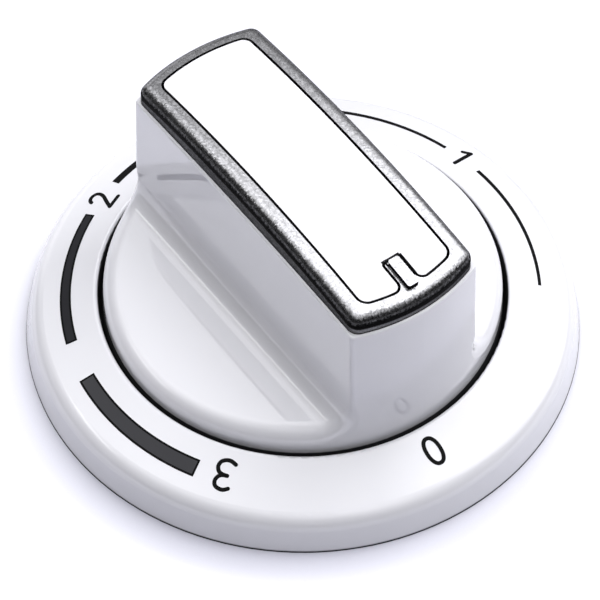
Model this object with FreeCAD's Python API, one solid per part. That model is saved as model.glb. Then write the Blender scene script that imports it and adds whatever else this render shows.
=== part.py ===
import FreeCAD, Part
import math
import os

# Control knob of a cooker: a bar-grip knob that turns in a fixed dial bezel.
# Millimetres. Origin: centre of the bezel's back, on the panel. +Z: out of the panel, along the shaft.
# The pointer looks towards -Y.

# Dial bezel
bezel_radius = 30.0            # outer rim, on the panel
opening_radius = 22.0          # opening that the knob turns in
bezel_height = 6.4             # edge of the opening above the panel
dial_fall_deg = 18.0           # slope of the printed face, down towards the rim
rim_lean_deg = 12.0            # lean of the outer wall
rim_round = 2.2
opening_round = 0.4
bezel_wall = 1.8
bezel_floor = 2.0
bezel_rib_count = 12
bezel_rib = 1.2
bezel_rib_lift = 0.6           # ribs stop this far above the panel
screw_spacing = 28.0           # two M4 screws that also hold the switch behind the panel
screw_hole_radius = 2.25
screw_head_height = 3.1
collar_wall = 3.2              # bearing collar round the hub

# Knob body
foot_clearance = 0.45          # between the knob's foot and the opening
foot_lift = 1.0                # between the knob's foot and the bezel's floor
end_draft_deg = 2.1            # lean of the skirt and of the grip's two ends
seam_height = 24.0             # top of the body at the grip's two ends, where the trim sits
seam_arch_radius = 360.0       # arch of the seam along the grip
grip_half_width = 7.95         # half width of the grip at the seam
side_draft_deg = 0.5
scoop_rim_height = 8.3         # floor of the finger scoops at the skirt
scoop_fall_deg = 3.0           # slope of the scoop floors, down towards the skirt
scoop_fillet = 2.8             # hollow between the grip's side and the scoop floor
scoop_rim_round = 1.9          # round edge between the scoop floor and the skirt
grip_corner_round = 0.5        # upright corners of the grip
seam_round = 0.25
body_wall = 2.0
body_rib = 1.6
body_rib_count = 8

# Hub, shaft socket and bearing
shaft_radius = 3.0             # 6 mm shaft with a flat
shaft_flat = 1.6               # flat of the shaft, from its axis
shaft_clearance = 0.05
socket_relief = 0.4            # round part of the D section, looser than the lead-in
hub_wall = 2.15
hub_lift = 0.4                 # mouth of the hub above the panel
lead_in = 5.0                  # round part of the socket, from the mouth
socket_cap = 4.6               # solid end of the hub above the socket
journal_clearance = 0.05       # running clearance of the hub in the collar
thrust_gap = 0.3               # between the hub's shoulder and the collar
shoulder_drop = 0.2            # shoulder below the underside of the scoop floors
shoulder_width = 2.2

# Spring clip in the socket
clip_width = 3.4
clip_strip = 0.4
clip_side_gap = 0.1            # between the clip and its slot
clip_leg_space = 1.1           # between the two legs
clip_mouth_gap = 0.8           # the clip stays this far inside the mouth

# Retaining ring under the collar
groove_depth = 0.5
groove_lift = 0.6              # groove above the hub's mouth
groove_width = 0.7
ring_strip = 0.6
ring_width = 1.6
ring_seat_gap = 0.02
ring_slot_half_deg = 32.0      # half of the ring's open mouth
ring_recess_gap = 0.5          # between the ring and its recess in the bezel
ring_float = 0.3               # between the groove and the collar

# Trim cap
trim_height = 3.6              # from the seam's two ends to the highest point of the arched top
crown_radius = 143.0           # arch along the grip
trim_ledge = 0.32              # step from the body in to the trim
trim_corner_extra = 0.1        # upright corners are rounder than the shoulder by this
trim_shoulder = 1.2            # round upper edge
trim_side_rim = 1.86           # silver border beside the inlay
trim_end_rim = 1.64            # silver border at the inlay's two ends
trim_floor = 0.8               # under the inlay
trim_wall = 1.5
peg_radius = 1.5
peg_clearance = 0.05
peg_length = 3.2
peg_spread = 22.0              # between the two pegs

# Top inlay
inlay_corner = 1.1
inlay_thickness = 1.2
shadow_groove = 0.3            # between the inlay and the trim
notch_half_width = 1.25        # notch that takes the trim's tongue
notch_length = 3.55
notch_inner_round = 0.45
notch_mouth_round = 0.7

# Raised pointer on the trim's tongue
pointer_half_width = 0.64
pointer_length = 3.65
pointer_gap = 0.4              # between the pointer and the end of the notch
pointer_height = 0.55
pointer_round = 0.25

# Sizes that follow from the ones above
foot_height = bezel_floor + foot_lift
foot_radius = opening_radius - foot_clearance
grip_top = seam_height - body_wall
rib_lift = bezel_floor + screw_head_height + thrust_gap
bore_radius = shaft_radius + shaft_clearance
relief_radius = shaft_radius + socket_relief
hub_radius = bore_radius + hub_wall
shoulder_radius = hub_radius + shoulder_width
shoulder_height = scoop_rim_height - body_wall - shoulder_drop
collar_height = shoulder_height - thrust_gap
collar_bore = hub_radius + journal_clearance
collar_radius = collar_bore + collar_wall
flat_distance = shaft_flat + shaft_clearance
lead_top = hub_lift + lead_in
socket_top = grip_top - socket_cap
groove_bottom = hub_lift + groove_lift
groove_top = groove_bottom + groove_width
groove_radius = hub_radius - groove_depth
ring_inner = groove_radius + ring_seat_gap
ring_outer = ring_inner + ring_width
ring_recess_radius = ring_outer + ring_recess_gap
ring_recess_depth = groove_top + ring_float
crown_height = seam_height + trim_height
trim_half_width = grip_half_width - trim_ledge
trim_corner = trim_shoulder + trim_corner_extra
inlay_half_width = trim_half_width - trim_side_rim - shadow_groove
reach = 2 * bezel_radius       # longer than any cut needs to be
tiny = 0.01                    # for telling edges apart

upward = FreeCAD.Vector(0, 0, 1)
sideways = FreeCAD.Vector(1, 0, 0)
origin = FreeCAD.Vector(0, 0, 0)


def tangent(degrees):
    return math.tan(math.radians(degrees))


def slant(length, degrees):
    return length / math.cos(math.radians(degrees))


def on_section(across, height):
    # Half section through the axis, drawn behind it so that the seam of a revolve lies on +Y
    return FreeCAD.Vector(0, across, height)


def on_front(across, height):
    return FreeCAD.Vector(across, 0, height)


def on_plan(across, along):
    return FreeCAD.Vector(across, along, 0)


def outline(corners, place):
    # Closed face through (across, up, round) corners: a corner with a round becomes a tangent arc
    points = [place(across, up) for across, up, _ in corners]
    edges = []
    ends = []
    for index, (_, _, radius) in enumerate(corners):
        corner = points[index]
        if radius == 0:
            ends.append((corner, corner))
            continue
        back = (points[index - 1] - corner).normalize()
        ahead = (points[(index + 1) % len(points)] - corner).normalize()
        half_angle = back.getAngle(ahead) / 2
        bisector = (back + ahead).normalize()
        middle = corner + bisector * (radius / math.sin(half_angle) - radius)
        start = corner + back * (radius / math.tan(half_angle))
        end = corner + ahead * (radius / math.tan(half_angle))
        edges.append(Part.Arc(start, middle, end).toShape())
        ends.append((start, end))
    for index, (_, leave) in enumerate(ends):
        arrive = ends[(index + 1) % len(ends)][0]
        if leave.distanceToPoint(arrive) > tiny ** 2:
            edges.append(Part.makeLine(leave, arrive))
    return Part.Face(Part.Wire(Part.__sortEdges__(edges)))


def turned(corners):
    return outline(corners, on_section).revolve(origin, upward, 360)


def raised(face, bottom, top):
    solid = face.extrude(upward * (top - bottom))
    solid.translate(upward * bottom)
    return solid


def disc(radius, bottom, top):
    return Part.makeCylinder(radius, top - bottom, upward * bottom)


def block(x_range, y_range, z_range):
    size = [high - low for low, high in (x_range, y_range, z_range)]
    return Part.makeBox(*size, FreeCAD.Vector(x_range[0], y_range[0], z_range[0]))


def middle_of(edge):
    return edge.valueAt((edge.FirstParameter + edge.LastParameter) / 2)


def upright_edges(shape):
    return [edge for edge in shape.Edges if abs(edge.tangentAt(edge.FirstParameter).z) > 1 - tiny]


def radial_plates(count, thickness, bottom, top):
    plates = []
    for index in range(count):
        plate = block((0, reach), (-thickness / 2, thickness / 2), (bottom, top))
        plate.rotate(origin, upward, 360 * index / count)
        plates.append(plate)
    return plates


def dial_height(radius, drop=0):
    return bezel_height - (radius - opening_radius) * tangent(dial_fall_deg) - drop


def rim_corner(wall):
    # Where the sloping face meets the leaning outer wall, both moved inwards by wall
    outside = bezel_radius - slant(wall, rim_lean_deg)
    steepness = 1 - tangent(rim_lean_deg) * tangent(dial_fall_deg)
    height = dial_height(outside, slant(wall, dial_fall_deg)) / steepness
    return outside, outside - height * tangent(rim_lean_deg), height


def make_bezel():
    _, corner_radius, corner_height = rim_corner(0)
    ring = turned([
        (bezel_radius, 0, 0),
        (corner_radius, corner_height, rim_round),
        (opening_radius, bezel_height, opening_round),
        (opening_radius, bezel_floor, 0),
        (collar_radius, bezel_floor, 0),
        (collar_radius, collar_height, 0),
        (collar_bore, collar_height, 0),
        (collar_bore, ring_recess_depth, 0),
        (ring_recess_radius, ring_recess_depth, 0),
        (ring_recess_radius, 0, 0),
    ])
    # Hollow back between the well and the outer wall, stiffened by ribs
    hollow_radius, inside_radius, inside_height = rim_corner(bezel_wall)
    well_radius = opening_radius + bezel_wall
    hollow = turned([
        (hollow_radius, 0, 0),
        (inside_radius, inside_height, 0),
        (well_radius, dial_height(well_radius, slant(bezel_wall, dial_fall_deg)), 0),
        (well_radius, 0, 0),
    ])
    hollow = hollow.cut(radial_plates(bezel_rib_count, bezel_rib, bezel_rib_lift, bezel_height))
    screw_holes = []
    for side in (-1, 1):
        hole = disc(screw_hole_radius, 0, bezel_floor)
        hole.translate(sideways * (side * screw_spacing / 2))
        screw_holes.append(hole)
    return ring.cut([hollow] + screw_holes)


def end_radius(height):
    return foot_radius - (height - foot_height) * tangent(end_draft_deg)


def scoop_corner(inset):
    # Where the side of the grip would meet the scoop floor, both moved into the body by inset
    lean = tangent(side_draft_deg)
    fall = tangent(scoop_fall_deg)
    floor = scoop_rim_height - inset
    width = grip_half_width - inset
    across = (width + lean * (seam_height - floor - foot_radius * fall)) / (1 - lean * fall)
    return across, floor + (foot_radius - across) * fall


def knob_form(inset, bottom, top, fillet):
    # Leaning round body with a finger scoop cut away on each side of the grip
    form = turned([
        (0, bottom, 0),
        (end_radius(bottom) - inset, bottom, 0),
        (end_radius(top) - inset, top, 0),
        (0, top, 0),
    ])
    across, floor = scoop_corner(inset)
    upper = 2 * seam_height
    scoop = outline([
        (across, floor, fillet),
        (reach, floor - (reach - across) * tangent(scoop_fall_deg), 0),
        (reach, upper, 0),
        (across - (upper - floor) * tangent(side_draft_deg), upper, 0),
    ], on_front)
    scoop.translate(FreeCAD.Vector(0, -reach, 0))
    scoop = scoop.extrude(FreeCAD.Vector(0, 2 * reach, 0))
    return form.cut([scoop, scoop.mirror(origin, sideways)])


def arched(radius, height):
    # Everything under an arch along the grip, with its highest point at height
    roller = Part.makeCylinder(radius, 2 * reach, sideways * -reach, sideways)
    roller.translate(upward * (height - radius))
    return roller


def seam_top():
    return seam_height + seam_arch_radius - math.sqrt(seam_arch_radius ** 2 - end_radius(seam_height) ** 2)


def under_seam():
    return arched(seam_arch_radius, seam_top())


def rounded_knob():
    # One half gets a round edge that grows from the grip's corners to the scoop's rim, then is mirrored
    half = knob_form(0, foot_height, seam_top(), scoop_fillet).common(under_seam())
    half = half.common(block((-reach, 0), (-reach, reach), (0, reach)))
    chain = []
    for number, edge in enumerate(half.Edges, start=1):
        middle = middle_of(edge)
        on_wall = abs(math.hypot(middle.x, middle.y) - end_radius(middle.z)) < tiny
        beside_grip = middle.x < tiny - grip_half_width
        if on_wall and beside_grip and foot_height < middle.z < seam_height:
            chain.append((math.copysign(middle.z, middle.y), number))
    chain.sort()
    corner = grip_corner_round
    rim = scoop_rim_round
    rounds = [(corner, corner), (corner, rim), (rim, rim), (rim, corner), (corner, corner)]
    document = FreeCAD.newDocument("knob")
    plain = document.addObject("Part::Feature", "plain")
    plain.Shape = half
    round_edges = document.addObject("Part::Fillet", "round_edges")
    round_edges.Base = plain
    round_edges.Edges = [(number, start, end) for (_, number), (start, end) in zip(chain, rounds)]
    document.recompute()
    half = round_edges.Shape
    whole = half.fuse(half.mirror(origin, sideways)).removeSplitter()
    seam = [edge for edge in whole.Edges if middle_of(edge).z > seam_height - tiny]
    return whole.makeFillet(seam_round, seam)


def make_socket():
    # Round lead-in, then a D section, and a slot for the spring clip behind its flat
    flat_side = block((-reach, reach), (flat_distance, reach), (lead_top, socket_top))
    d_section = disc(relief_radius, lead_top, socket_top).cut(flat_side)
    slot_half = clip_width / 2 + clip_side_gap
    slot_back = flat_distance + 2 * clip_strip + clip_leg_space + clip_side_gap
    slot = block((-slot_half, slot_half), (0, slot_back), (hub_lift, socket_top))
    return disc(bore_radius, hub_lift, lead_top).fuse([d_section, slot])


def make_knob_body():
    cavity = knob_form(body_wall, bezel_floor, grip_top, 0)
    shell = rounded_knob().cut(cavity)
    hub = disc(hub_radius, hub_lift, grip_top)
    shoulder = disc(shoulder_radius, shoulder_height, scoop_rim_height)
    collar_room = disc(collar_radius + thrust_gap, 0, shoulder_height)
    ribs = []
    for plate in radial_plates(body_rib_count, body_rib, rib_lift, grip_top):
        ribs.append(plate.common(cavity).cut(collar_room))
    body = shell.fuse([hub, shoulder] + ribs)
    ring_groove = disc(hub_radius, groove_bottom, groove_top).cut(disc(groove_radius, 0, seam_height))
    peg_holes = [peg(side, peg_radius + peg_clearance) for side in (-1, 1)]
    return body.cut([make_socket(), ring_groove] + peg_holes).removeSplitter()


def crown_at(along):
    return crown_height - crown_radius + math.sqrt(crown_radius ** 2 - along ** 2)


def crown(drop):
    # Everything under the arched top, lowered by drop
    return arched(crown_radius - drop, crown_height - drop)


def peg(side, radius):
    along = side * peg_spread / 2
    top = crown_at(along) - inlay_thickness - trim_floor / 2
    pin = disc(radius, seam_height - peg_length, top)
    pin.translate(FreeCAD.Vector(0, along, 0))
    return pin


def bar_plan(half_width, end):
    # Straight sides, and ends that follow a circle about the knob's axis
    strip = outline([
        (-half_width, -reach, 0),
        (half_width, -reach, 0),
        (half_width, reach, 0),
        (-half_width, reach, 0),
    ], on_plan)
    return strip.common(Part.Face(Part.Wire(Part.makeCircle(end)))).Faces[0]


def bar(half_width, end, corner):
    solid = raised(bar_plan(half_width, end), seam_height, crown_height)
    return solid.makeFillet(corner, upright_edges(solid))


def trim_end():
    return end_radius(seam_height) - trim_ledge


def inlay_end():
    return trim_end() - trim_end_rim - shadow_groove


def inlay_plan(grow):
    # The inlay's outline with its pointer notch, grown all round by grow
    notch_end = inlay_end() - notch_length
    notch = outline([
        (-notch_half_width, -reach, 0),
        (notch_half_width, -reach, 0),
        (notch_half_width, -notch_end, notch_inner_round),
        (-notch_half_width, -notch_end, notch_inner_round),
    ], on_plan)
    plate = raised(bar_plan(inlay_half_width, inlay_end()).cut(notch).Faces[0], 0, inlay_thickness)
    corners = [edge for edge in upright_edges(plate) if abs(middle_of(edge).x) > inlay_half_width - tiny]
    plate = plate.makeFillet(inlay_corner, corners)
    mouth = []
    for edge in upright_edges(plate):
        middle = middle_of(edge)
        beside_notch = abs(middle.x) < notch_half_width + tiny
        if beside_notch and middle.y < -notch_end - notch_inner_round - tiny:
            mouth.append(edge)
    plate = plate.makeFillet(notch_mouth_round, mouth)
    bottom = min(plate.Faces, key=lambda face: face.CenterOfMass.z)
    plan = Part.Face(bottom.OuterWire)
    return plan.makeOffset2D(grow) if grow else plan


def make_trim_cap():
    cap = bar(trim_half_width, trim_end(), trim_corner).common(crown(0))
    top_edges = []
    for edge in cap.Edges:
        middle = middle_of(edge)
        if abs(middle.z - crown_at(middle.y)) < tiny:
            top_edges.append(edge)
    cap = cap.makeFillet(trim_shoulder, top_edges)
    pointer_inner = inlay_end() - notch_length + pointer_gap
    pointer_outer = pointer_inner + pointer_length
    pointer_plan = outline([
        (-pointer_half_width, -pointer_outer, pointer_round),
        (pointer_half_width, -pointer_outer, pointer_round),
        (pointer_half_width, -pointer_inner, pointer_round),
        (-pointer_half_width, -pointer_inner, pointer_round),
    ], on_plan)
    pointer = raised(pointer_plan, seam_height, crown_height + pointer_height)
    pointer = pointer.common(crown(-pointer_height)).cut(crown(inlay_thickness))
    pocket = raised(inlay_plan(shadow_groove), seam_height, crown_height).cut(crown(inlay_thickness))
    hollow = bar(trim_half_width - trim_wall, trim_end() - trim_wall, trim_corner)
    hollow = hollow.common(crown(inlay_thickness + trim_floor))
    pegs = [peg(side, peg_radius) for side in (-1, 1)]
    return cap.cut([pocket, hollow, under_seam()]).fuse([pointer] + pegs).removeSplitter()


def make_inlay():
    plate = raised(inlay_plan(0), seam_height, crown_height)
    return plate.common(crown(0)).cut(crown(inlay_thickness))


def make_clip():
    # Hairpin strip: a back leg along the slot, a round bend at its top and a front leg on the flat
    back = flat_distance + 2 * clip_strip + clip_leg_space
    bottom = hub_lift + clip_mouth_gap
    top = socket_top - clip_side_gap
    bend = clip_strip + clip_leg_space / 2
    hairpin = outline([
        (flat_distance, bottom, 0),
        (back, bottom, 0),
        (back, top, bend),
        (flat_distance, top, bend),
    ], on_section)
    between = outline([
        (flat_distance + clip_strip, 0, 0),
        (back - clip_strip, 0, 0),
        (back - clip_strip, top - clip_strip, clip_leg_space / 2),
        (flat_distance + clip_strip, top - clip_strip, clip_leg_space / 2),
    ], on_section)
    strip = hairpin.cut(between).Faces[0]
    strip.translate(sideways * (-clip_width / 2))
    front_end = block((-reach, reach), (0, flat_distance + clip_strip), (0, lead_top))
    return strip.extrude(sideways * clip_width).cut(front_end)


def make_retaining_ring():
    bottom = (groove_bottom + groove_top - ring_strip) / 2
    top = bottom + ring_strip
    spread = math.radians(ring_slot_half_deg)
    mouth = outline([
        (0, 0, 0),
        (reach * math.sin(spread), -reach * math.cos(spread), 0),
        (-reach * math.sin(spread), -reach * math.cos(spread), 0),
    ], on_plan)
    return disc(ring_outer, bottom, top).cut([disc(ring_inner, bottom, top), raised(mouth, 0, reach)])


os.makedirs("parts", exist_ok=True)
nodes = {
    "bezel": make_bezel(),
    "knob_body": make_knob_body(),
    "trim_cap": make_trim_cap(),
    "top_inlay": make_inlay(),
    "shaft_clip": make_clip(),
    "retaining_ring": make_retaining_ring(),
}
for name, shape in nodes.items():
    solid = shape.Solids[0]
    solid.exportStep(os.path.join("parts", name + ".step"))
    box = solid.optimalBoundingBox(True, False)
    print(f"{name}: {len(shape.Solids)} solid, valid {solid.isValid()}, volume {solid.Volume:.1f} mm3,"
          f" z {box.ZMin:.2f} to {box.ZMax:.2f}")
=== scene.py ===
import math
import bmesh
import bpy
from mathutils import Matrix, Vector


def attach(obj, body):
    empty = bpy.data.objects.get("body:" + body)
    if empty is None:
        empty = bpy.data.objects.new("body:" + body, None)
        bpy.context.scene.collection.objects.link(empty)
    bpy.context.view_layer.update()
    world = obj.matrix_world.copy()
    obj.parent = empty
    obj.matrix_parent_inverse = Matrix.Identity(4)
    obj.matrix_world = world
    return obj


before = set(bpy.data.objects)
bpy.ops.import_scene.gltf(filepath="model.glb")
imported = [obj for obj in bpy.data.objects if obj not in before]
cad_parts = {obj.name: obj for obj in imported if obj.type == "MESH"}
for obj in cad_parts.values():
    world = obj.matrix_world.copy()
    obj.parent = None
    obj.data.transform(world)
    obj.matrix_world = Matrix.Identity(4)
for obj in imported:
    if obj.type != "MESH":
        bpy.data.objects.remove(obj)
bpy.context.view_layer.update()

scene = bpy.context.scene
scene.view_settings.view_transform = "Standard"
mm = 0.001
print("frame loaded:", ", ".join(sorted(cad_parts)))


# camera: as the photograph was taken, from above the pointer's left
cameraView = {
    "azimuth": -35.96,
    "elevation": 52.93,
    "distance": 410.8 * mm,
    "slideRight": -0.306 * mm,
    "slideUp": 2.128 * mm,
    "aimHeight": 0.29 * mm,
    "lens": 227.24,
    "sensor": 36.0,
    "nearest": 10.0 * mm,
}


def placeCamera(view):
    turn = math.radians(view["azimuth"])
    rise = math.radians(view["elevation"])
    toCamera = Vector((math.sin(turn) * math.cos(rise), -math.cos(turn) * math.cos(rise), math.sin(rise)))
    right = Vector((math.cos(turn), math.sin(turn), 0))
    up = toCamera.cross(right)
    data = bpy.data.cameras.new("viewCamera")
    data.lens = view["lens"]
    data.sensor_width = view["sensor"]
    data.clip_start = view["nearest"]
    camera = bpy.data.objects.new("viewCamera", data)
    place = toCamera * view["distance"] + right * view["slideRight"] + up * view["slideUp"]
    place.z += view["aimHeight"]
    axes = Matrix((right, up, toCamera)).transposed()
    camera.matrix_world = Matrix.Translation(place) @ axes.to_4x4()
    scene.collection.objects.link(camera)
    scene.camera = camera
    return right, toCamera


viewRight, viewBack = placeCamera(cameraView)
farAway = Vector((-viewBack.x, -viewBack.y, 0)).normalized()    # level, away from the camera
print("camera placed")


# node helpers
def addNode(tree, kind, values=None, **settings):
    made = tree.nodes.new(kind)
    for name, setting in settings.items():
        setattr(made, name, setting)
    for name, value in (values or {}).items():
        if isinstance(value, bpy.types.NodeSocket):
            tree.links.new(value, made.inputs[name])
        else:
            made.inputs[name].default_value = value
    return made


def newMaterial(name):
    material = bpy.data.materials.new(name)
    material.use_nodes = True
    tree = material.node_tree
    tree.nodes.clear()
    shader = addNode(tree, "ShaderNodeBsdfPrincipled")
    addNode(tree, "ShaderNodeOutputMaterial", {"Surface": shader.outputs["BSDF"]})
    return material, tree, shader


def newGroup(name, inputs, outputs):
    group = bpy.data.node_groups.new(name, "ShaderNodeTree")
    for socketName, kind, value in inputs:
        group.interface.new_socket(socketName, in_out="INPUT", socket_type=kind).default_value = value
    for socketName, kind in outputs:
        group.interface.new_socket(socketName, in_out="OUTPUT", socket_type=kind)
    return group, addNode(group, "NodeGroupInput"), addNode(group, "NodeGroupOutput")


def useGroup(tree, group, values):
    return addNode(tree, "ShaderNodeGroup", values, node_tree=group)


def mathNode(tree, operation, first, second=0.0, third=0.0):
    made = addNode(tree, "ShaderNodeMath", operation=operation)
    for index, value in enumerate((first, second, third)):
        if isinstance(value, bpy.types.NodeSocket):
            tree.links.new(value, made.inputs[index])
        else:
            made.inputs[index].default_value = value
    return made.outputs[0]


def rangeNode(tree, value, fromLow, fromHigh, toLow, toHigh):
    made = addNode(tree, "ShaderNodeMapRange", {
        "Value": value, "From Min": fromLow, "From Max": fromHigh, "To Min": toLow, "To Max": toHigh})
    return made.outputs["Result"]


def setRamp(rampNode, stops):
    elements = rampNode.color_ramp.elements
    while len(elements) < len(stops):
        elements.new(1.0)
    for element, (place, share) in zip(elements, stops):
        element.position = place
        element.color = (share, share, share, 1)


def objectPoint(tree):
    return addNode(tree, "ShaderNodeTexCoord").outputs["Object"]


def noiseNode(tree, point, perMetre, detail=2.0, roughness=0.5):
    made = addNode(tree, "ShaderNodeTexNoise", {
        "Vector": point, "Scale": perMetre, "Detail": detail, "Roughness": roughness})
    return made.outputs["Fac"]


# moulded surface: slow tone drift, handling smudges and a fine orange-peel height
mouldedSurface = {
    "driftPerMetre": 90.0,
    "smudgePerMetre": 260.0,
    "smudgeStretch": (1.0, 0.35, 1.0),    # smears run along the grip
    "smudgeShown": (0.45, 0.75),          # noise at which a smudge starts and is full
    "peelPerMetre": 900.0,
    "peelDepth": 0.02 * mm,
}


def makeMouldedGroup(look):
    group, given, out = newGroup("mouldedSurface", [
        ("Drift", "NodeSocketFloat", 0.03),
        ("Smudge", "NodeSocketFloat", 0.08),
        ("Base Roughness", "NodeSocketFloat", 0.2),
    ], [
        ("Tone", "NodeSocketFloat"),
        ("Roughness", "NodeSocketFloat"),
        ("Height", "NodeSocketFloat"),
    ])
    point = objectPoint(group)
    slow = mathNode(group, "SUBTRACT", noiseNode(group, point, look["driftPerMetre"], detail=3.0), 0.5)
    tone = mathNode(group, "MULTIPLY_ADD", slow, given.outputs["Drift"], 1.0)
    smear = addNode(group, "ShaderNodeMapping", {"Vector": point, "Scale": look["smudgeStretch"]})
    smudge = noiseNode(group, smear.outputs["Vector"], look["smudgePerMetre"], detail=5.0, roughness=0.6)
    smudge = rangeNode(group, smudge, *look["smudgeShown"], 0.0, 1.0)
    rough = mathNode(group, "MULTIPLY_ADD", smudge, given.outputs["Smudge"], given.outputs["Base Roughness"])
    peel = noiseNode(group, point, look["peelPerMetre"])
    group.links.new(tone, out.inputs["Tone"])
    group.links.new(rough, out.inputs["Roughness"])
    group.links.new(peel, out.inputs["Height"])
    return group


mouldedGroup = makeMouldedGroup(mouldedSurface)


# painted shade in narrow recesses and along edges, as masks in the part's own space
recesses = {
    "crownHeight": 27.6 * mm,
    "crownRadius": 143.0 * mm,
    "seamHeight": 24.6 * mm,          # highest point of the arched seam under the cap
    "seamRadius": 360.0 * mm,
    "seamShadowLine": (0.06 * mm, 0.20 * mm),    # painted shade line above the seam: full, then gone
    "pocketHalfWidth": 6.2 * mm,      # a little outside the inlay's pocket
    "pocketEnd": 19.2 * mm,
    "grooveStart": 0.03 * mm,         # below the arched top
    "grooveFull": 0.12 * mm,
    "pointerFoot": 0.03 * mm,         # above the arched top: painted shade on the pointer's sides from here up to the pointer's edge
    "pointerEdge": 0.50 * mm,
    "tongueDark": [                   # painted shadow strips beside the pointer and at its inner end: across, along
        ((0.55 * mm, 1.3 * mm), (-17.9 * mm, -15.0 * mm)),
        ((-0.84 * mm, -0.58 * mm), (-15.65 * mm, -15.0 * mm)),
        ((-1.08 * mm, 1.12 * mm), (-15.22 * mm, -14.8 * mm)),
    ],
    "footShadowLine": (0.14 * mm, 0.32 * mm),    # painted contact shadow on the bezel's foot: dark below, clear above
    "footRadius": 29.5 * mm,
    "footClear": 0.005 * mm,          # the flat back stays white
    "wellRadius": 22.1 * mm,
    "wellFloor": 1.95 * mm,
}


def archOver(tree, along, top, radius):
    # height of an arch along the grip
    fall = mathNode(tree, "DIVIDE", mathNode(tree, "MULTIPLY", along, along), 2 * radius)
    return mathNode(tree, "SUBTRACT", top, fall)


def fromAxis(tree, across, along):
    squares = [mathNode(tree, "MULTIPLY", offset, offset) for offset in (across, along)]
    return mathNode(tree, "SQRT", mathNode(tree, "ADD", *squares))


def makeGrooveGroup():
    # painted shade in the groove round the inlay, on the pointer's sides, in strips beside the pointer and
    # in the seam under the cap, and the depth below the arched top
    group, _, out = newGroup("grooveShade", [], [("Mask", "NodeSocketFloat"), ("Depth", "NodeSocketFloat")])
    point = addNode(group, "ShaderNodeSeparateXYZ", {"Vector": objectPoint(group)})
    across, along, height = point.outputs
    arch = archOver(group, along, recesses["crownHeight"], recesses["crownRadius"])
    depth = mathNode(group, "SUBTRACT", arch, height)
    deep = rangeNode(group, depth, recesses["grooveStart"], recesses["grooveFull"], 0.0, 1.0)
    aboveFoot = mathNode(group, "LESS_THAN", depth, -recesses["pointerFoot"])
    underEdge = mathNode(group, "GREATER_THAN", depth, -recesses["pointerEdge"])
    deep = mathNode(group, "MAXIMUM", deep, mathNode(group, "MULTIPLY", aboveFoot, underEdge))
    inside = mathNode(group, "LESS_THAN", mathNode(group, "ABSOLUTE", across), recesses["pocketHalfWidth"])
    inEnds = mathNode(group, "LESS_THAN", fromAxis(group, across, along), recesses["pocketEnd"])
    mask = mathNode(group, "MULTIPLY", deep, mathNode(group, "MULTIPLY", inside, inEnds))
    for strip in recesses["tongueDark"]:
        dark = mathNode(group, "GREATER_THAN", depth, -recesses["pointerFoot"])
        for value, (low, high) in zip((across, along), strip):
            dark = mathNode(group, "MULTIPLY", dark, mathNode(group, "GREATER_THAN", value, low))
            dark = mathNode(group, "MULTIPLY", dark, mathNode(group, "LESS_THAN", value, high))
        mask = mathNode(group, "MAXIMUM", mask, dark)
    seam = archOver(group, along, recesses["seamHeight"], recesses["seamRadius"])
    overSeam = mathNode(group, "SUBTRACT", height, seam)
    mask = mathNode(group, "MAXIMUM", mask, rangeNode(group, overSeam, *recesses["seamShadowLine"], 1.0, 0.0))
    group.links.new(mask, out.inputs["Mask"])
    group.links.new(depth, out.inputs["Depth"])
    return group


def makeWellGroup():
    # painted shade in the running gap between the bezel and the knob, and a painted contact shadow along the
    # bezel's foot
    group, given, out = newGroup("wellShade", [
        ("Dark Below", "NodeSocketFloat", 4.0 * mm),
        ("Clear Above", "NodeSocketFloat", 6.0 * mm),
        ("Inner Radius", "NodeSocketFloat", 0.0),
    ], [("Mask", "NodeSocketFloat")])
    point = addNode(group, "ShaderNodeSeparateXYZ", {"Vector": objectPoint(group)})
    across, along, height = point.outputs
    low = rangeNode(group, height, given.outputs["Dark Below"], given.outputs["Clear Above"], 1.0, 0.0)
    aboveFloor = mathNode(group, "GREATER_THAN", height, recesses["wellFloor"])
    radius = fromAxis(group, across, along)
    inWell = mathNode(group, "LESS_THAN", radius, recesses["wellRadius"])
    pastInner = mathNode(group, "GREATER_THAN", radius, given.outputs["Inner Radius"])
    inWell = mathNode(group, "MULTIPLY", inWell, pastInner)
    mask = mathNode(group, "MULTIPLY", low, mathNode(group, "MULTIPLY", aboveFloor, inWell))
    atFoot = rangeNode(group, height, *recesses["footShadowLine"], 1.0, 0.0)
    onRim = mathNode(group, "MULTIPLY", mathNode(group, "GREATER_THAN", height, recesses["footClear"]),
                     mathNode(group, "GREATER_THAN", radius, recesses["footRadius"]))
    mask = mathNode(group, "MAXIMUM", mask, mathNode(group, "MULTIPLY", atFoot, onRim))
    group.links.new(mask, out.inputs["Mask"])
    return group


grooveGroup = makeGrooveGroup()
wellGroup = makeWellGroup()


def scaledBy(tree, colour, tone):
    made = addNode(tree, "ShaderNodeVectorMath", {0: colour, "Scale": tone}, operation="SCALE")
    return made.outputs["Vector"]


def shadedBy(tree, colour, mask, dark):
    made = addNode(tree, "ShaderNodeMix", {"Factor": mask}, data_type="RGBA")
    tree.links.new(colour, made.inputs["A"])
    made.inputs["B"].default_value = (*dark, 1)
    return made.outputs["Result"]


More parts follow.
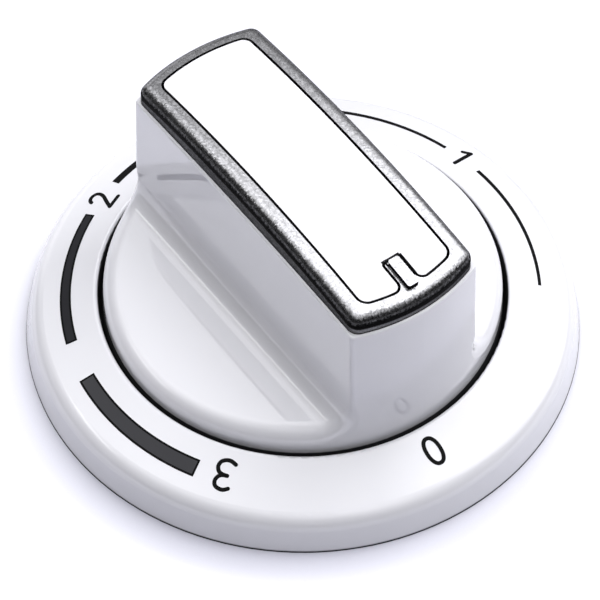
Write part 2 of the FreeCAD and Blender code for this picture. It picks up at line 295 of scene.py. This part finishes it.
whitePlastic = {
    "bezel": {
        "colour": (0.79, 0.79, 0.815),
        "drift": 0.03, "smudge": 0.05, "roughness": 0.08, "peel": 0.05, "coat": 0.9
    },
    "knob": {
        "colour": (0.79, 0.79, 0.815),
        "drift": 0.03, "smudge": 0.02, "roughness": 0.03, "peel": 0.02, "coat": 0.5
    },
    "inlay": {
        "colour": (0.86, 0.86, 0.87),
        "drift": 0.02, "smudge": 0.06, "roughness": 0.14, "peel": 0.05, "coat": 0.0
    },
    "ior": 1.5,
    "paintedShadeColour": (0.012, 0.012, 0.014),
    # painted shade in the gap between bezel and knob: dark below, clear above
    "bezelWell": {"Dark Below": 5.9 * mm, "Clear Above": 6.16 * mm, "Inner Radius": 0.0},
    "knobWell": {"Dark Below": 5.75 * mm, "Clear Above": 5.95 * mm, "Inner Radius": 21.0 * mm},
}


def makeWhitePlastic(name, look, recess, recessValues):
    material, tree, shader = newMaterial(name)
    surface = useGroup(tree, mouldedGroup, {
        "Drift": look["drift"], "Smudge": look["smudge"], "Base Roughness": look["roughness"]})
    colour = scaledBy(tree, look["colour"], surface.outputs["Tone"])
    # painted shade: the mask darkens the colour in grooves, in the running gap and at the foot
    mask = useGroup(tree, recess, recessValues).outputs["Mask"]
    tree.links.new(shadedBy(tree, colour, mask, whitePlastic["paintedShadeColour"]), shader.inputs["Base Color"])
    rough = mathNode(tree, "MAXIMUM", surface.outputs["Roughness"], mask)
    tree.links.new(rough, shader.inputs["Roughness"])
    bump = addNode(tree, "ShaderNodeBump", {
        "Height": surface.outputs["Height"],
        "Strength": look["peel"],
        "Distance": mouldedSurface["peelDepth"],
    })
    tree.links.new(bump.outputs["Normal"], shader.inputs["Normal"])
    shader.inputs["IOR"].default_value = whitePlastic["ior"]
    if look["coat"]:
        clear = rangeNode(tree, mask, 0.0, 1.0, look["coat"], 0.0)     # none where shade is painted
        tree.links.new(clear, shader.inputs["Coat Weight"])
        shader.inputs["Coat Roughness"].default_value = look["roughness"]
    return material


# silver paint: metal flakes in a clear binder
silverPaint = {
    "dark": (0.32, 0.32, 0.325),
    "bright": (0.48, 0.48, 0.49),
    "flakesPerMetre": 5800.0,
    "roughness": (0.20, 0.30),
    "flakeTilt": 0.12,
    "paintedShoulderShade": [(0.10, 0.0), (0.24, 0.02), (0.38, 0.11), (0.53, 0.22), (0.66, 0.50), (0.84, 0.64), (0.95, 0.92),
             (0.98, 1.0)],             # how far it faces up, then share of the paint's tone
    "paintedShadeGrain": 1.2,
    "grainEnds": 1.05,                 # how far it would have to face up to lose its grain
    "sideShare": 0.34,
    "sideFrom": (1.42 * mm, 1.64 * mm),    # below the arched top: the side's grey starts, is full
    "metallic": 0.9,
    "edgeTint": (0.25, 0.25, 0.25),
}


def makeSilverPaint(look):
    material, tree, shader = newMaterial("silverPaint")
    point = objectPoint(tree)
    flakes = addNode(tree, "ShaderNodeTexVoronoi", {"Vector": point, "Scale": look["flakesPerMetre"]})
    shine = addNode(tree, "ShaderNodeSeparateColor", {"Color": flakes.outputs["Color"]})
    blend = addNode(tree, "ShaderNodeMix", {"Factor": shine.outputs["Red"]}, data_type="RGBA")
    blend.inputs["A"].default_value = (*look["dark"], 1)
    blend.inputs["B"].default_value = (*look["bright"], 1)
    # painted reflection and shade: by how far it faces up, the round shoulder is painted dark as if
    # mirroring a dark room, and the sides a duller grey
    facing = addNode(tree, "ShaderNodeNewGeometry").outputs["Normal"]
    facingUp = addNode(tree, "ShaderNodeSeparateXYZ", {"Vector": facing}).outputs["Z"]
    grain = mathNode(tree, "SUBTRACT", shine.outputs["Blue"], 0.5)
    grain = mathNode(tree, "MULTIPLY", grain, look["paintedShadeGrain"])
    slope = mathNode(tree, "MULTIPLY", facingUp, mathNode(tree, "SUBTRACT", look["grainEnds"], facingUp))
    grain = mathNode(tree, "MULTIPLY", grain, slope)
    paintedShoulderShade = addNode(tree, "ShaderNodeValToRGB", {"Fac": mathNode(tree, "ADD", facingUp, grain)})
    setRamp(paintedShoulderShade, look["paintedShoulderShade"])
    groove = useGroup(tree, grooveGroup, {})
    side = rangeNode(tree, groove.outputs["Depth"], *look["sideFrom"], 0.0, look["sideShare"])
    share = mathNode(tree, "MAXIMUM", paintedShoulderShade.outputs["Color"], side)
    paint = scaledBy(tree, blend.outputs["Result"], share)
    # painted shade in the groove, on the pointer's sides and in the seam
    mask = groove.outputs["Mask"]
    colour = shadedBy(tree, paint, mask, whitePlastic["paintedShadeColour"])
    tree.links.new(colour, shader.inputs["Base Color"])
    rough = rangeNode(tree, shine.outputs["Green"], 0.0, 1.0, *look["roughness"])
    tree.links.new(mathNode(tree, "MAXIMUM", rough, mask), shader.inputs["Roughness"])
    # each flake leans its own way
    half = (0.5, 0.5, 0.5)
    lean = addNode(tree, "ShaderNodeVectorMath", {0: flakes.outputs["Color"], 1: half}, operation="SUBTRACT")
    lean = scaledBy(tree, lean.outputs["Vector"], look["flakeTilt"])
    leaning = addNode(tree, "ShaderNodeVectorMath", {0: facing, 1: lean}, operation="ADD")
    leaning = addNode(tree, "ShaderNodeVectorMath", {0: leaning.outputs["Vector"]}, operation="NORMALIZE")
    tree.links.new(leaning.outputs["Vector"], shader.inputs["Normal"])
    shader.inputs["Metallic"].default_value = look["metallic"]
    shader.inputs["Specular Tint"].default_value = (*look["edgeTint"], 1)
    return material


# bright steel with fine upright lines
springSteel = {
    "colour": (0.46, 0.46, 0.48),
    "tone": (0.85, 1.15),
    "roughness": (0.22, 0.4),
    "linesPerMetre": 2500.0,
    "stretch": (1.0, 1.0, 0.08),
    "noise": (0.3, 0.7),               # range of the noise that is used
}


def makeSpringSteel(look):
    material, tree, shader = newMaterial("springSteel")
    stretched = addNode(tree, "ShaderNodeMapping", {"Vector": objectPoint(tree), "Scale": look["stretch"]})
    drawn = noiseNode(tree, stretched.outputs["Vector"], look["linesPerMetre"], detail=3.0)
    tone = rangeNode(tree, drawn, *look["noise"], *look["tone"])
    tree.links.new(scaledBy(tree, look["colour"], tone), shader.inputs["Base Color"])
    tree.links.new(rangeNode(tree, drawn, *look["noise"], *look["roughness"]), shader.inputs["Roughness"])
    shader.inputs["Metallic"].default_value = 1.0
    return material


printInk = {
    "inks": {
        "black": {"colour": (0.003, 0.003, 0.003), "specular": 0.06},
        "dark": {"colour": (0.016, 0.016, 0.019), "specular": 0.12},
        "grey": {"colour": (0.042, 0.042, 0.046), "specular": 0.15},
    },
    "surface": {"Drift": 0.5, "Smudge": 0.1, "Base Roughness": 0.45},
}


def makePrintInk(name, look):
    material, tree, shader = newMaterial(name)
    surface = useGroup(tree, mouldedGroup, printInk["surface"])
    tree.links.new(scaledBy(tree, look["colour"], surface.outputs["Tone"]), shader.inputs["Base Color"])
    tree.links.new(surface.outputs["Roughness"], shader.inputs["Roughness"])
    shader.inputs["Specular IOR Level"].default_value = look["specular"]
    return material


def dress(nodeName, material):
    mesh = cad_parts[nodeName].data
    mesh.materials.clear()
    mesh.materials.append(material)


bezelPlastic = makeWhitePlastic("bezelPlastic", whitePlastic["bezel"], wellGroup, whitePlastic["bezelWell"])
knobPlastic = makeWhitePlastic("knobPlastic", whitePlastic["knob"], wellGroup, whitePlastic["knobWell"])
inlayPlastic = makeWhitePlastic("inlayPlastic", whitePlastic["inlay"], grooveGroup, {})
dress("bezel", bezelPlastic)
dress("knob_body", knobPlastic)
dress("top_inlay", inlayPlastic)
dress("trim_cap", makeSilverPaint(silverPaint))
steel = makeSpringSteel(springSteel)
dress("shaft_clip", steel)
dress("retaining_ring", steel)
inks = {name: makePrintInk(name + "Ink", look) for name, look in printInk["inks"].items()}
print("materials made")


# printed scale: thin ink on the bezel's sloping face, counted from the pointer's rest towards +X
dial = {
    "openingRadius": 22.0 * mm,
    "height": 6.4 * mm,            # of the opening's edge
    "fall": math.tan(math.radians(18.0)),
    "inkTop": 0.02 * mm,
    "inkFoot": -0.03 * mm,
}
bands = {
    "radius": 25.5 * mm,
    "spans": [                     # degrees at both ends, mm of width there, ink
        (56.0, 95.0, 0.36, 0.48, "black"),
        (105.8, 146.5, 0.45, 0.55, "black"),
        (157.5, 197.8, 0.75, 0.90, "black"),
        (209.5, 249.4, 1.10, 1.25, "dark"),
        (260.4, 298.4, 1.70, 1.85, "grey"),
    ],
    "pieces": 48,
    "border": 0.22 * mm,           # black edge printed over the wide bands
    "borderLift": 0.005 * mm,
}
figures = {
    "stroke": 0.44 * mm,
    "place": {                     # degrees and radius of each figure's middle
        "0": (-2.9, 24.92 * mm),
        "1": (101.1, 25.6 * mm),
        "2": (203.9, 25.13 * mm),
        "3": (305.3, 25.19 * mm),
    },
    "closed": ("0",),
    "endPieces": 6,
    "ovalPower": (0.86, 0.92),     # below 1 squares the oval off a little, across and outwards
}


def onDial(angle, radius, lift):
    height = dial["height"] - (radius - dial["openingRadius"]) * dial["fall"] + lift
    return Vector((radius * math.sin(angle), -radius * math.cos(angle), height))


def addPiece(name, builder, material):
    mesh = bpy.data.meshes.new(name)
    bmesh.ops.recalc_face_normals(builder, faces=builder.faces)
    builder.to_mesh(mesh)
    builder.free()
    mesh.materials.append(material)
    piece = bpy.data.objects.new(name, mesh)
    scene.collection.objects.link(piece)
    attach(piece, "bezel")


def inkSlab(builder, rows, closed=False, lift=0.0):
    # solid slab of ink: each row is the pair of edge points (angle, radius) across it
    made = []
    top, foot = dial["inkTop"] + lift, dial["inkFoot"]
    for left, right in rows:
        corners = ((left, top), (right, top), (right, foot), (left, foot))
        made.append([builder.verts.new(onDial(*spot, height)) for spot, height in corners])
    if closed:
        made.append(made[0])
    for first, second in zip(made, made[1:]):
        for side in range(4):
            other = (side + 1) % 4
            builder.faces.new((first[side], first[other], second[other], second[side]))
    if not closed:
        builder.faces.new(made[0])
        builder.faces.new(made[-1])


def bandRows(start, end, startWidth, endWidth, inset):
    rows = []
    slip = inset / bands["radius"]
    first, last = math.radians(start) + slip, math.radians(end) - slip
    for step in range(bands["pieces"] + 1):
        share = step / bands["pieces"]
        half = (startWidth + (endWidth - startWidth) * share) * mm / 2 - inset
        angle = first + (last - first) * share
        rows.append(((angle, bands["radius"] - half), (angle, bands["radius"] + half)))
    return rows


def makeBands():
    for position, (start, end, startWidth, endWidth, ink) in enumerate(bands["spans"], 1):
        outer = bandRows(start, end, startWidth, endWidth, 0.0)
        builder = bmesh.new()
        inkSlab(builder, outer)
        addPiece(f"scale_band_{position}", builder, inks[ink])
        if ink == "black":
            continue
        inner = bandRows(start, end, startWidth, endWidth, bands["border"])
        loops = []
        for rows in (outer, inner):
            loops.append([left for left, right in rows] + [right for left, right in reversed(rows)])
        builder = bmesh.new()
        inkSlab(builder, list(zip(*loops)), True, bands["borderLift"])
        addPiece(f"scale_border_{position}", builder, inks["black"])


def smoothPath(corners, perSpan=8):
    # smooth curve through the given corners
    path = []
    padded = [corners[0]] + corners + [corners[-1]]
    for index in range(1, len(padded) - 2):
        before, start, end, after = [Vector(spot) for spot in padded[index - 1:index + 3]]
        for step in range(perSpan):
            share = step / perSpan
            path.append(0.5 * (2 * start + (end - before) * share
                               + (2 * before - 5 * start + 4 * end - after) * share ** 2
                               + (3 * start - before - 3 * end + after) * share ** 3))
    path.append(Vector(corners[-1]))
    return path


def ovalPath(halfWide, halfHigh, count=56):
    path = []
    widePower, highPower = figures["ovalPower"]
    for step in range(count):
        angle = 2 * math.pi * step / count
        wide = math.copysign(abs(math.cos(angle)) ** widePower, math.cos(angle))
        high = math.copysign(abs(math.sin(angle)) ** highPower, math.sin(angle))
        path.append(Vector((halfWide * wide, halfHigh * high)))
    return path


# figures as pen strokes in mm: across to the reader's right, then outwards
figureStrokes = {
    "0": [ovalPath(0.80, 1.47)],       # one closed loop
    "1": [smoothPath([(0.32, -1.47), (0.32, 1.47)], 12), smoothPath([(0.32, 1.47), (-0.45, 0.88)], 8)],
    "2": [smoothPath([(-0.88, 1.16), (-0.62, 1.50), (-0.10, 1.62), (0.42, 1.40), (0.58, 0.92),
                      (0.40, 0.36), (0.02, -0.16), (-0.40, -0.72), (-0.82, -1.32)]),
          smoothPath([(-0.82, -1.32), (0.92, -1.32)], 12)],
    "3": [smoothPath([(-0.78, 1.36), (-0.36, 1.60), (0.12, 1.62), (0.62, 1.40), (0.82, 0.92),
                      (0.66, 0.40), (0.26, 0.12), (-0.28, 0.06)]),
          smoothPath([(-0.28, 0.06), (0.30, 0.02), (0.74, -0.22), (0.95, -0.72), (0.80, -1.24),
                      (0.34, -1.54), (-0.20, -1.58), (-0.78, -1.34)])],
}


def strokeRows(path, half, closed):
    # pairs of edge points along a pen stroke, with round ends unless the path closes
    rows = []
    last = len(path) - 1
    for index, spot in enumerate(path):
        if closed:
            ahead = path[(index + 1) % len(path)] - path[index - 1]
        else:
            ahead = path[min(index + 1, last)] - path[max(index - 1, 0)]
        ahead.normalize()
        rows.append((spot, ahead, Vector((-ahead.y, ahead.x)) * half))
    body = [(spot + across, spot - across) for spot, ahead, across in rows]
    if closed:
        return body
    caps = []
    count = figures["endPieces"]
    for (spot, ahead, across), sign in ((rows[0], -1), (rows[-1], 1)):
        cap = []
        for step in range(1, count):
            angle = math.pi / 2 * step / count
            slid = spot + ahead * (sign * half * math.sin(angle))
            wide = across * math.cos(angle)
            cap.append((slid + wide, slid - wide))
        caps.append(cap)
    return caps[0][::-1] + body + caps[1]


def makeFigures():
    half = figures["stroke"] / 2 / mm
    for figure, strokes in figureStrokes.items():
        angle, radius = figures["place"][figure]
        centre = math.radians(angle)

        def onFace(spot):
            # the figure stands upright on the slope, its top outwards
            outward = radius + spot.y * mm * math.cos(math.atan(dial["fall"]))
            across = -spot.x * mm
            return centre + math.atan2(across, outward), math.hypot(across, outward)

        builder = bmesh.new()
        for path in strokes:
            closed = figure in figures["closed"]
            rows = strokeRows(path, half, closed)
            inkSlab(builder, [(onFace(left), onFace(right)) for left, right in rows], closed)
        addPiece(f"figure_{figure}", builder, inks["black"])


makeBands()
makeFigures()
print("scale printed")


# studio: white table under a few soft panels of light
studio = {
    "tableRadius": 0.35,
    "tableSegments": 96,
    "tableDrop": 0.02 * mm,            # just under the bezel's flat back
    "tableNoise": (30.0, (0.3, 0.7), (0.99, 1.01)),    # per metre, range of the noise, range of the tone
    "tableColour": (0.60, 0.60, 0.67),
    "tableGlow": 0.42,                 # lifts the table to white away from the part
    "shadowReach": 5.0 * mm,
    "shadowFrom": (0.20, 0.97, 0.15),  # the side most of the light comes from
    "shadowOpen": (0.50, 0.97),        # share of open sky where the glow starts and is full
    "shadowSamples": 16,
    "horizon": (-0.03, -0.01),         # the backdrop is white below and clear above
    "light": (0.97, 0.97, 1.0),
    "panels": {                        # turn from right to back, rise, degrees full and gone, strength
        "window": (30, 45, (24.0, 36.0), 1.95),
        "backWindow": (45, 40, (30.0, 42.0), 0.48),
        "overhead": (0, 90, (5.0, 35.0), 0.80),
        "backRight": (45, 62, (4.0, 30.0), 0.70),
        "back": (90, 62, (4.0, 30.0), 1.00),
        "backLeft": (135, 62, (4.0, 30.0), 1.70),
        "left": (180, 62, (4.0, 30.0), 0.75),
        "frontLeft": (225, 62, (4.0, 30.0), 0.37),
        "front": (270, 62, (4.0, 30.0), 0.33),
        "frontRight": (315, 62, (4.0, 30.0), 1.11),
        "lowRight": (30, 12, (4.0, 22.0), 0.42),
        "lowBack": (120, 12, (4.0, 22.0), 1.73),
    },
    "lamps": {                         # place to the right, away and up, then sizes and power
        "stripLight": ((-0.46, 0.08, 0.52), (0.30, 0.06), 0.13),
    },
}


def inView(place):
    # from right, away from the camera and up to the part's own axes
    return viewRight * place[0] + farAway * place[1] + Vector((0, 0, place[2]))


def makeTable():
    builder = bmesh.new()
    bmesh.ops.create_circle(builder, cap_ends=True, radius=studio["tableRadius"],
                            segments=studio["tableSegments"])
    mesh = bpy.data.meshes.new("table")
    builder.to_mesh(mesh)
    builder.free()
    table = bpy.data.objects.new("table", mesh)
    table.location.z = -studio["tableDrop"]
    scene.collection.objects.link(table)
    material = bpy.data.materials.new("tableTop")
    material.use_nodes = True
    tree = material.node_tree
    tree.nodes.clear()
    perMetre, noise, tones = studio["tableNoise"]
    tone = rangeNode(tree, noiseNode(tree, objectPoint(tree), perMetre), *noise, *tones)
    paint = addNode(tree, "ShaderNodeBsdfDiffuse", {"Color": scaledBy(tree, studio["tableColour"], tone)})
    # painted shadow: the glow fades where the part hides the sky on the light's side, leaving a contact
    # shadow on the table
    lightSide = inView(studio["shadowFrom"]).normalized()
    leaning = addNode(tree, "ShaderNodeCombineXYZ", dict(zip("XYZ", lightSide)))
    openSky = addNode(tree, "ShaderNodeAmbientOcclusion", {
        "Distance": studio["shadowReach"],
        "Normal": leaning.outputs["Vector"],
    }, samples=studio["shadowSamples"])
    lifted = rangeNode(tree, openSky.outputs["AO"], *studio["shadowOpen"], 0.0, studio["tableGlow"])
    glow = addNode(tree, "ShaderNodeEmission", {"Strength": lifted})
    both = addNode(tree, "ShaderNodeAddShader", {0: paint.outputs[0], 1: glow.outputs[0]})
    ray = addNode(tree, "ShaderNodeLightPath")
    seen = mathNode(tree, "MAXIMUM", ray.outputs["Is Camera Ray"], ray.outputs["Is Glossy Ray"])
    seen = mathNode(tree, "MAXIMUM", seen, ray.outputs["Is Transmission Ray"])
    shown = addNode(tree, "ShaderNodeMixShader", {0: seen, 1: paint.outputs[0], 2: both.outputs[0]})
    addNode(tree, "ShaderNodeOutputMaterial", {"Surface": shown.outputs[0]})
    mesh.materials.append(material)


def makeSky():
    world = bpy.data.worlds.new("studioSky")
    scene.world = world
    world.use_nodes = True
    tree = world.node_tree
    tree.nodes.clear()
    direction = addNode(tree, "ShaderNodeTexCoord").outputs["Generated"]
    height = addNode(tree, "ShaderNodeSeparateXYZ", {"Vector": direction}).outputs["Z"]
    strength = 0.0
    for turn, rise, spread, power in studio["panels"].values():
        turn, rise = math.radians(turn), math.radians(rise)
        level = math.cos(rise)
        middle = inView((math.cos(turn) * level, math.sin(turn) * level, math.sin(rise)))
        towards = addNode(tree, "ShaderNodeVectorMath", {0: direction, 1: middle}, operation="DOT_PRODUCT")
        full, end = [math.cos(math.radians(angle)) for angle in spread]
        panel = rangeNode(tree, towards.outputs["Value"], end, full, 0.0, power)
        strength = mathNode(tree, "ADD", panel, strength)
    light = addNode(tree, "ShaderNodeBackground", {"Color": (*studio["light"], 1), "Strength": strength})
    white = addNode(tree, "ShaderNodeBackground", {"Color": (1, 1, 1, 1), "Strength": 1.0})
    below = rangeNode(tree, height, *studio["horizon"], 1.0, 0.0)
    shown = addNode(tree, "ShaderNodeMixShader", {0: below, 1: light.outputs[0], 2: white.outputs[0]})
    addNode(tree, "ShaderNodeOutputWorld", {"Surface": shown.outputs[0]})


def addLamp(name, place, size, power):
    data = bpy.data.lights.new(name, "AREA")
    data.shape = "RECTANGLE"
    data.size, data.size_y = size
    data.energy = power
    lamp = bpy.data.objects.new(name, data)
    lamp.location = inView(place)
    lamp.rotation_mode = "QUATERNION"
    lamp.rotation_quaternion = (-lamp.location).to_track_quat("-Z", "Y")
    scene.collection.objects.link(lamp)


makeTable()
makeSky()
for lampName, (place, size, power) in studio["lamps"].items():
    addLamp(lampName, place, size, power)
print("studio lit")
